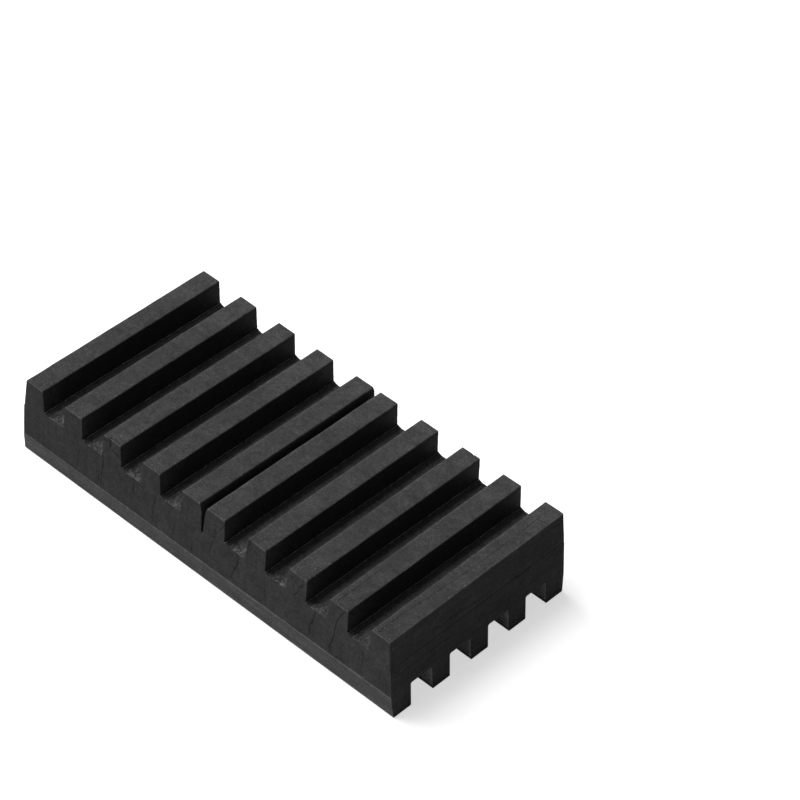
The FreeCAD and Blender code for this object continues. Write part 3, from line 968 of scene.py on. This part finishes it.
class Rubber(Shade):
    """The looks of the rubber, made of the notes on the mesh and the noise patterns."""

    def __init__(self, tree):
        super().__init__(tree)
        self.on = {name: self.noted(name) for name in FACE_NOTES + POINT_NOTES}
        self.pattern = {name: self.noise(**settings) for name, settings in PATTERNS.items()}
        self.off_middle = self.math("ABSOLUTE", self.along("Y"))
        self.torn = self.product(self.span(self.off_middle, *TORN_ENDS), self.on["floor"])
        self.scuff = self.product(self.span(self.pattern["scratch"], 0.46, 0.60), self.torn)
        self.dust = self.dust_cover()

    def dust_cover(self):
        """Dust on the crests and floors: in patches, on worn rims, towards the front and the sides."""
        patches = self.span(self.pattern["patch"], 0.48, 0.64)
        front = self.span(self.along("Y"), *FRONT_DUST)
        near_side = self.span(self.off_middle, *SIDE_DUST)
        rubbed = self.product(self.span(self.on["rim"], 0.1, 0.5),
                              self.span(self.pattern["blotch"], 0.45, 0.60))
        spread = self.total(self.product(patches, 0.5), self.product(front, 0.7),
                            self.product(near_side, 0.3), rubbed)
        return self.product(self.span(self.pattern["speck"], 0.53, 0.68), spread,
                            self.math("MAXIMUM", self.on["crest"], self.on["floor"]))

    def bare_tone(self):
        """How light each kind of face is by itself, with much painted light and shade, and darker in the
        marks as painted shade.
        """
        back = self.span(self.along("Y"), *TOWARDS_BACK)
        right = self.span(self.along("X"), *TOWARDS_RIGHT)
        opening = self.span(self.along("X"), *OPENING)
        low = self.span(self.along("Z"), *TOWARDS_FLOOR)
        tone = self.mix(self.on["crest"], MOULDED_TONE, self.mix(back, *CREST_TONES))
        # Painted light and shade on the groove floors: lighter in the middle, darker at the ends.
        tone = self.mix(self.on["floor"], tone, self.mix(self.torn, *FLOOR_PAINTED_LIGHT_TONES))
        # Painted shade on the top walls.
        tone = self.mix(self.on["wall"], tone, WALL_PAINTED_SHADE_TONE)
        # Painted highlight on the mould's line.
        tone = self.mix(self.on["lip"], tone, LIP_PAINTED_HIGHLIGHT_TONE)
        # Painted light on the walls underneath, near the +X opening.
        tone = self.mix(self.on["inner"], tone, self.mix(opening, *INNER_PAINTED_LIGHT_TONES))
        # Painted shade on the crests underneath.
        tone = self.mix(self.on["under"], tone, UNDER_PAINTED_SHADE_TONE)
        # Painted light on the sides, lighter towards +X.
        tone = self.mix(self.on["cut"], tone, self.mix(right, *SIDE_TONES))
        # Painted light on the ends, lighter towards the floor.
        tone = self.mix(self.on["end"], tone, self.mix(low, *END_TONES))
        # Painted light on the bands, lighter towards +X.
        tone = self.mix(self.on["band"], tone, self.mix(right, *BAND_TONES))
        # Painted shade in the marks.
        return self.product(tone, self.mix(self.on["mark"], 1.0, MARK_PAINTED_SHADE))

    def patterned(self, tone):
        """Blotches and grain all over, the knife's streaks on the sides, flow lines on ends and bands."""
        clouds = self.product(self.span(self.pattern["blotch"], 0.25, 0.75, 0.80, 1.20),
                              self.span(self.pattern["cloud"], 0.25, 0.75, 0.82, 1.18))
        grains = self.span(self.pattern["grain"], 0.25, 0.75, 0.66, 1.34)
        knife = self.product(self.span(self.pattern["streak"], 0.3, 0.7, 0.91, 1.08),
                             self.span(self.pattern["line"], 0.22, 0.34, 0.66, 1.0),
                             self.span(self.pattern["fleck"], 0.3, 0.7, 0.86, 1.14))
        flow = self.mix(self.on["band"], self.span(self.pattern["flow"], 0.3, 0.7, 0.90, 1.10),
                        self.span(self.pattern["flow"], 0.3, 0.7, 0.80, 1.18))
        flowing = self.math("MAXIMUM", self.on["band"], self.on["end"])
        return self.product(tone, clouds, grains, self.mix(self.on["cut"], 1.0, knife),
                            self.mix(flowing, 1.0, flow))

    def tone(self):
        """How light the rubber is, with dust, scuffs, and a painted highlight on worn rims."""
        # Painted highlight: worn rims are painted lighter, in uneven stretches.
        painted_rim_highlight = self.product(self.span(self.on["rim"], 0.45, 0.95),
                                  self.span(self.pattern["cloud"], 0.35, 0.65, 0.45, 1.0))
        return self.total(self.patterned(self.bare_tone()), self.product(self.dust, DUST_TONE),
                          self.product(self.scuff, SCUFF_TONE), self.product(painted_rim_highlight, RIM_HIGHLIGHT_TONE))

    def roughness(self):
        rough = self.mix(self.on["cut"], MOULDED_ROUGHNESS, SIDE_ROUGHNESS)
        rough = self.mix(self.on["end"], rough, END_ROUGHNESS)
        rough = self.mix(self.on["band"], rough, BAND_ROUGHNESS)
        rough = self.mix(self.on["wall"], rough, WALL_ROUGHNESS)
        uneven = self.span(self.pattern["cloud"], 0.3, 0.7, -0.06, 0.06)
        return self.total(rough, uneven, self.product(self.dust, DUST_ROUGHNESS))

    def bumps(self):
        """Ripples on the cut faces, flow lines on the bands, then grain, dust and scuffs over all."""
        flow = self.pattern["flow"]
        cut = self.math("MAXIMUM", self.on["cut"], self.on["end"])
        ripple = self.mix(self.on["cut"], self.mix(self.on["end"], 0.5, flow), self.pattern["streak"])
        ripple = self.total(ripple, self.product(self.pattern["cloud"], 0.8))
        fine = self.total(self.pattern["grain"], self.product(self.dust, 0.6),
                          self.product(self.scuff, 1.2))
        normal = self.bump(self.product(ripple, cut), RIPPLE_BUMP)
        normal = self.bump(self.product(flow, self.on["band"]), FLOW_BUMP, normal)
        return self.bump(fine, GRAIN_BUMP, normal)


def make_rubber():
    material = bpy.data.materials.new("rubber")
    material.use_nodes = True
    shader = material.node_tree.nodes["Principled BSDF"]
    rubber = Rubber(material.node_tree)
    colour = rubber.node("ShaderNodeCombineColor")
    tone = rubber.tone()
    for channel in colour.inputs:
        rubber.feed(channel, tone)
    rubber.feed(shader.inputs["Base Color"], colour.outputs[0])
    rubber.feed(shader.inputs["Roughness"], rubber.roughness())
    rubber.feed(shader.inputs["Normal"], rubber.bumps())
    shader.inputs["Specular IOR Level"].default_value = SHINE
    return material


# The light from all round, how far the white floor reaches in metres, its gap to the pad in millimetres,
# its colour, and what lifts it to white for the camera.
AMBIENT = 0.03
FLOOR_REACH = 2.0
FLOOR_GAP = 0.05
FLOOR_WHITE = (0.8, 0.8, 0.8, 1)
FLOOR_LIFT = (0.62, 0.62, 0.62, 1)

# The place in metres that both lamps shine at.
LAMP_AIM = Vector((0, 0, 0.01))

# Where the photograph was taken from: place and aim in millimetres, roll in degrees, and the focal length
# and the image's width in pixels.
CAMERA_PLACE = Vector((325.51, -362.97, 475.75))
CAMERA_AIM = Vector((4.27, 25.62, 18.38))
CAMERA_ROLL = 4.993
LENS_PIXELS = 3456.2
IMAGE_PIXELS = 800


def rays_that_see_white(tree):
    """1 for rays from the camera, a mirror or glass."""
    path = tree.nodes.new("ShaderNodeLightPath")
    seen = path.outputs["Is Camera Ray"]
    for name in ("Is Glossy Ray", "Is Transmission Ray"):
        larger = tree.nodes.new("ShaderNodeMath")
        larger.operation = "MAXIMUM"
        tree.links.new(seen, larger.inputs[0])
        tree.links.new(path.outputs[name], larger.inputs[1])
        seen = larger.outputs["Value"]
    return seen


def make_world():
    """A little light from all round, and white for the camera and for reflections."""
    world = bpy.data.worlds.new("studio")
    bpy.context.scene.world = world
    world.use_nodes = True
    tree = world.node_tree
    tree.nodes.clear()
    ambient = tree.nodes.new("ShaderNodeBackground")
    ambient.inputs["Strength"].default_value = AMBIENT
    white = tree.nodes.new("ShaderNodeBackground")
    white.inputs["Color"].default_value = (1, 1, 1, 1)
    mix = tree.nodes.new("ShaderNodeMixShader")
    output = tree.nodes.new("ShaderNodeOutputWorld")
    tree.links.new(rays_that_see_white(tree), mix.inputs["Fac"])
    tree.links.new(ambient.outputs[0], mix.inputs[1])
    tree.links.new(white.outputs[0], mix.inputs[2])
    tree.links.new(mix.outputs[0], output.inputs["Surface"])


def make_floor():
    """A floor just under the pad that takes its shadow and is white elsewhere."""
    bm = bmesh.new()
    bmesh.ops.create_grid(bm, x_segments=1, y_segments=1, size=FLOOR_REACH)
    data = bpy.data.meshes.new("floor")
    bm.to_mesh(data)
    bm.free()
    floor = bpy.data.objects.new("floor", data)
    floor.location.z = -FLOOR_GAP * MM
    bpy.context.scene.collection.objects.link(floor)
    material = bpy.data.materials.new("floor")
    material.use_nodes = True
    tree = material.node_tree
    tree.nodes.clear()
    diffuse = tree.nodes.new("ShaderNodeBsdfDiffuse")
    diffuse.inputs["Color"].default_value = FLOOR_WHITE
    lift = tree.nodes.new("ShaderNodeEmission")
    tree.links.new(rays_that_see_white(tree), lift.inputs["Strength"])
    lift.inputs["Color"].default_value = FLOOR_LIFT
    both = tree.nodes.new("ShaderNodeAddShader")
    output = tree.nodes.new("ShaderNodeOutputMaterial")
    tree.links.new(diffuse.outputs[0], both.inputs[0])
    tree.links.new(lift.outputs[0], both.inputs[1])
    tree.links.new(both.outputs[0], output.inputs["Surface"])
    data.materials.append(material)


def area_lamp(name, place, size, power):
    """A soft lamp with its place and size in metres and its power in watts."""
    light = bpy.data.lights.new(name, "AREA")
    light.shape = "RECTANGLE"
    light.size, light.size_y = size
    light.energy = power
    lamp = bpy.data.objects.new(name, light)
    lamp.location = place
    lamp.rotation_euler = (LAMP_AIM - Vector(place)).to_track_quat("-Z", "Y").to_euler()
    bpy.context.scene.collection.objects.link(lamp)


def make_camera():
    camera_data = bpy.data.cameras.new("camera")
    camera_data.lens = LENS_PIXELS / IMAGE_PIXELS * camera_data.sensor_width
    camera = bpy.data.objects.new("camera", camera_data)
    bpy.context.scene.collection.objects.link(camera)
    look = (CAMERA_AIM - CAMERA_PLACE).to_track_quat("-Z", "Y")
    turn = Matrix.Rotation(math.radians(CAMERA_ROLL), 4, "Z")
    camera.matrix_world = Matrix.Translation(CAMERA_PLACE * MM) @ look.to_matrix().to_4x4() @ turn
    bpy.context.scene.camera = camera


make_pad(make_rubber())
make_world()
make_floor()
area_lamp("key", place=(-0.60, -0.16, 0.98), size=(0.9, 0.9), power=16)
area_lamp("fill", place=(-0.12, -1.15, 0.40), size=(0.6, 0.4), power=2.2)
make_camera()
bpy.context.scene.view_settings.view_transform = "Standard"
